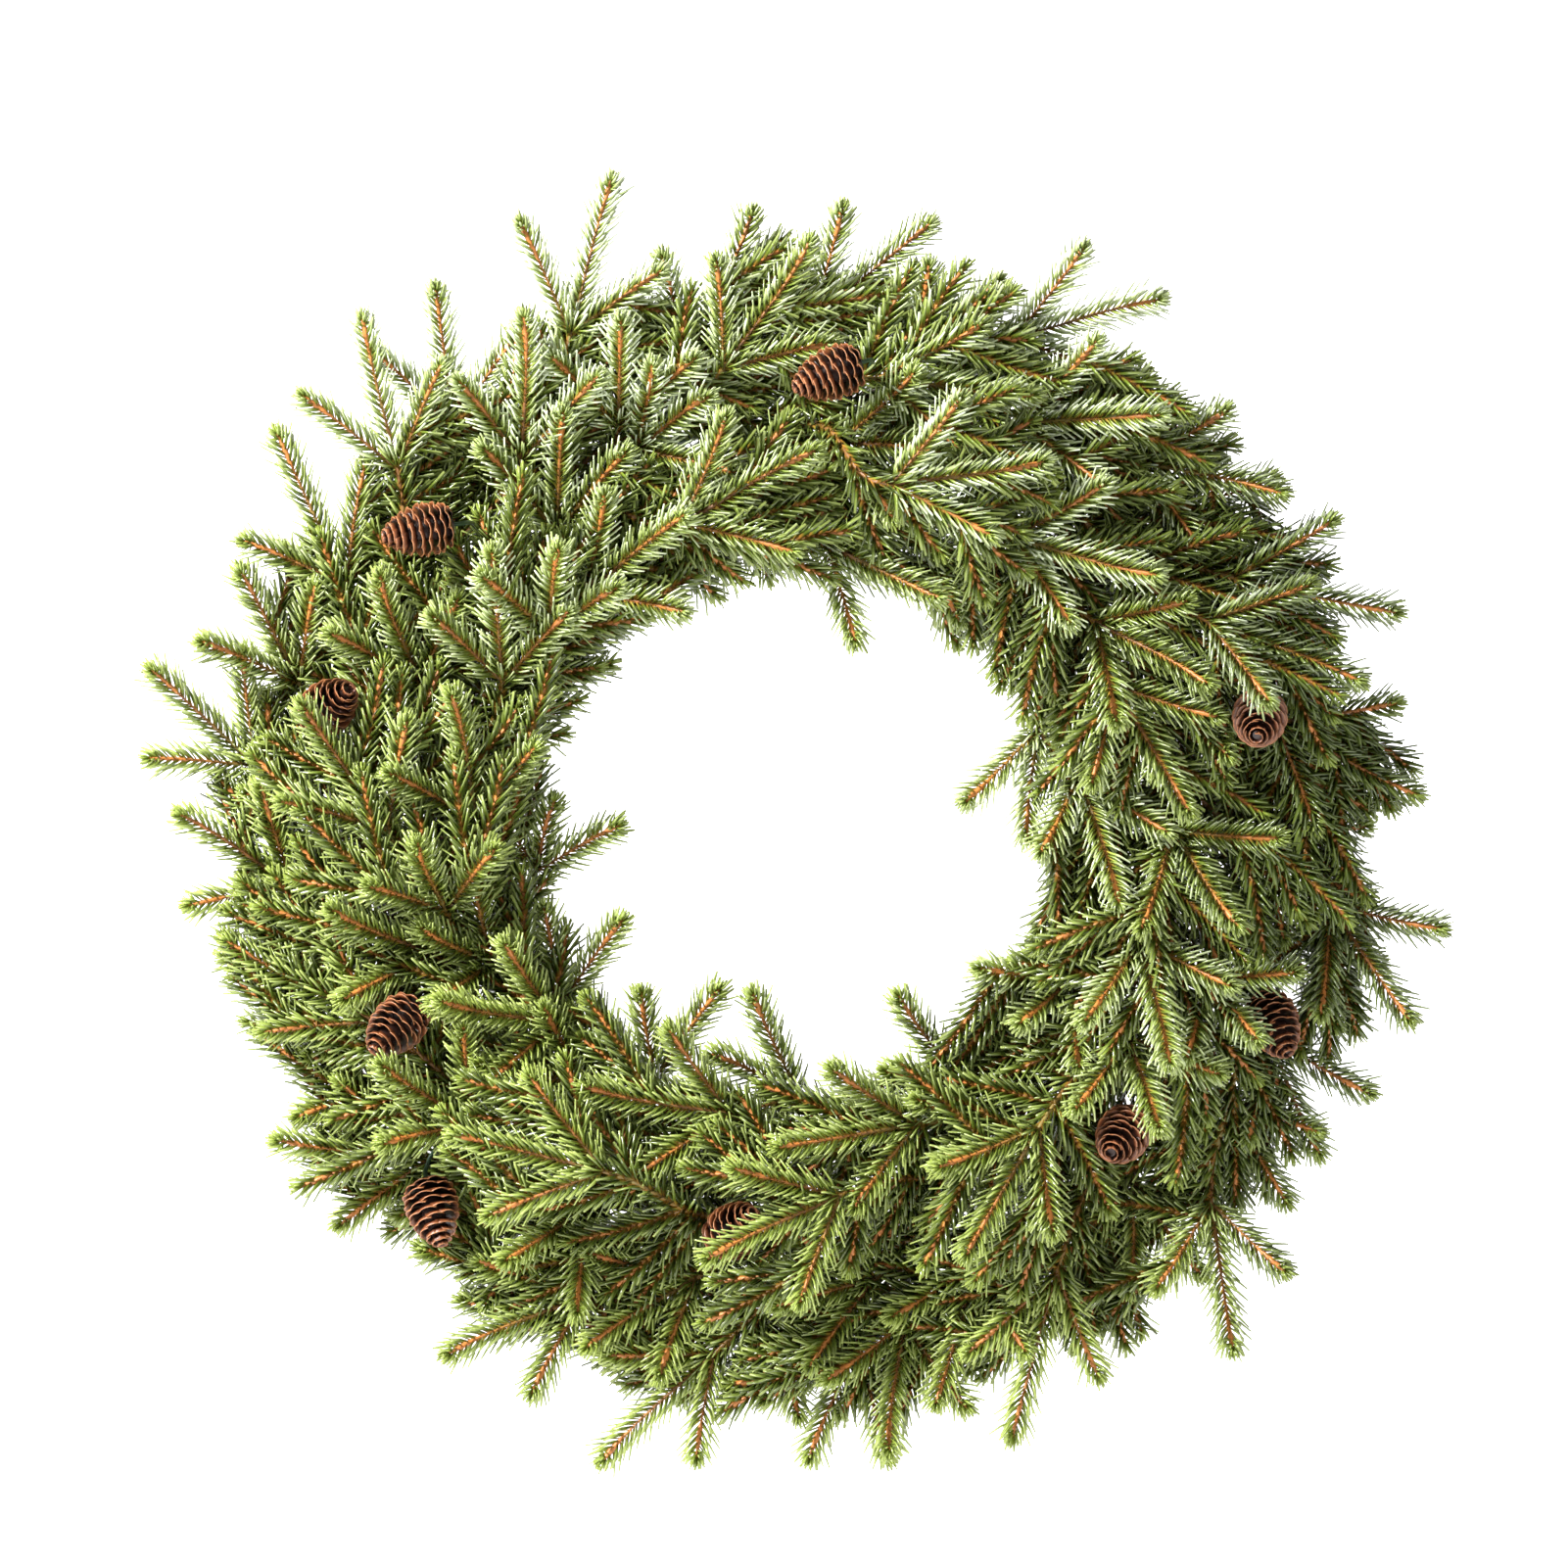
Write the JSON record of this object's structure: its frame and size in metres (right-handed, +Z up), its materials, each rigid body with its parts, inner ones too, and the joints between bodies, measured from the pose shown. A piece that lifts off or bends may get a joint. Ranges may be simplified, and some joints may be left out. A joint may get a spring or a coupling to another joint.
{
  "type": "christmas door wreath",
  "caption": "Round door wreath of moulded spruce branches that all sweep clockwise, with small cones, tied to a round wire frame.",
  "frame": {"origin": "underside of the frame ring's wire at the top, where a door hook carries the wreath", "axes": "+Z up, +Y towards the door, -Y towards the viewer, +X to the viewer's right"},
  "size_m": [0.6201, 0.0993, 0.6142],
  "materials": {
    "green_steel": "satin green paint",
    "spruce": "moulded needles, satin",
    "cone_brown": "dry cone scales, matte"
  },
  "bodies": {
    "root": {"frame_ring": "green_steel", "spray_01": "spruce", "spray_02": "spruce", "spray_03": "spruce", "spray_04": "spruce", "spray_05": "spruce", "spray_06": "spruce", "spray_07": "spruce", "spray_08": "spruce", "spray_09": "spruce", "spray_10": "spruce", "spray_11": "spruce", "spray_12": "spruce", "spray_13": "spruce", "spray_14": "spruce", "spray_15": "spruce", "spray_16": "spruce", "spray_17": "spruce", "spray_18": "spruce", "spray_19": "spruce", "spray_20": "spruce", "spray_21": "spruce", "spray_22": "spruce", "spray_23": "spruce", "spray_24": "spruce", "spray_25": "spruce", "spray_26": "spruce", "spray_27": "spruce", "spray_28": "spruce", "spray_29": "spruce", "spray_30": "spruce", "spray_31": "spruce", "spray_32": "spruce", "spray_33": "spruce", "spray_34": "spruce", "spray_35": "spruce", "spray_36": "spruce", "spray_37": "spruce", "spray_38": "spruce", "spray_39": "spruce", "spray_40": "spruce", "spray_41": "spruce", "spray_42": "spruce", "spray_43": "spruce", "spray_44": "spruce", "spray_45": "spruce", "spray_46": "spruce", "cone_1": "cone_brown", "cone_2": "cone_brown", "cone_3": "cone_brown", "cone_4": "cone_brown", "cone_5": "cone_brown", "cone_6": "cone_brown", "cone_7": "cone_brown", "cone_8": "cone_brown", "cone_9": "cone_brown"}
  },
  "joints": []
}
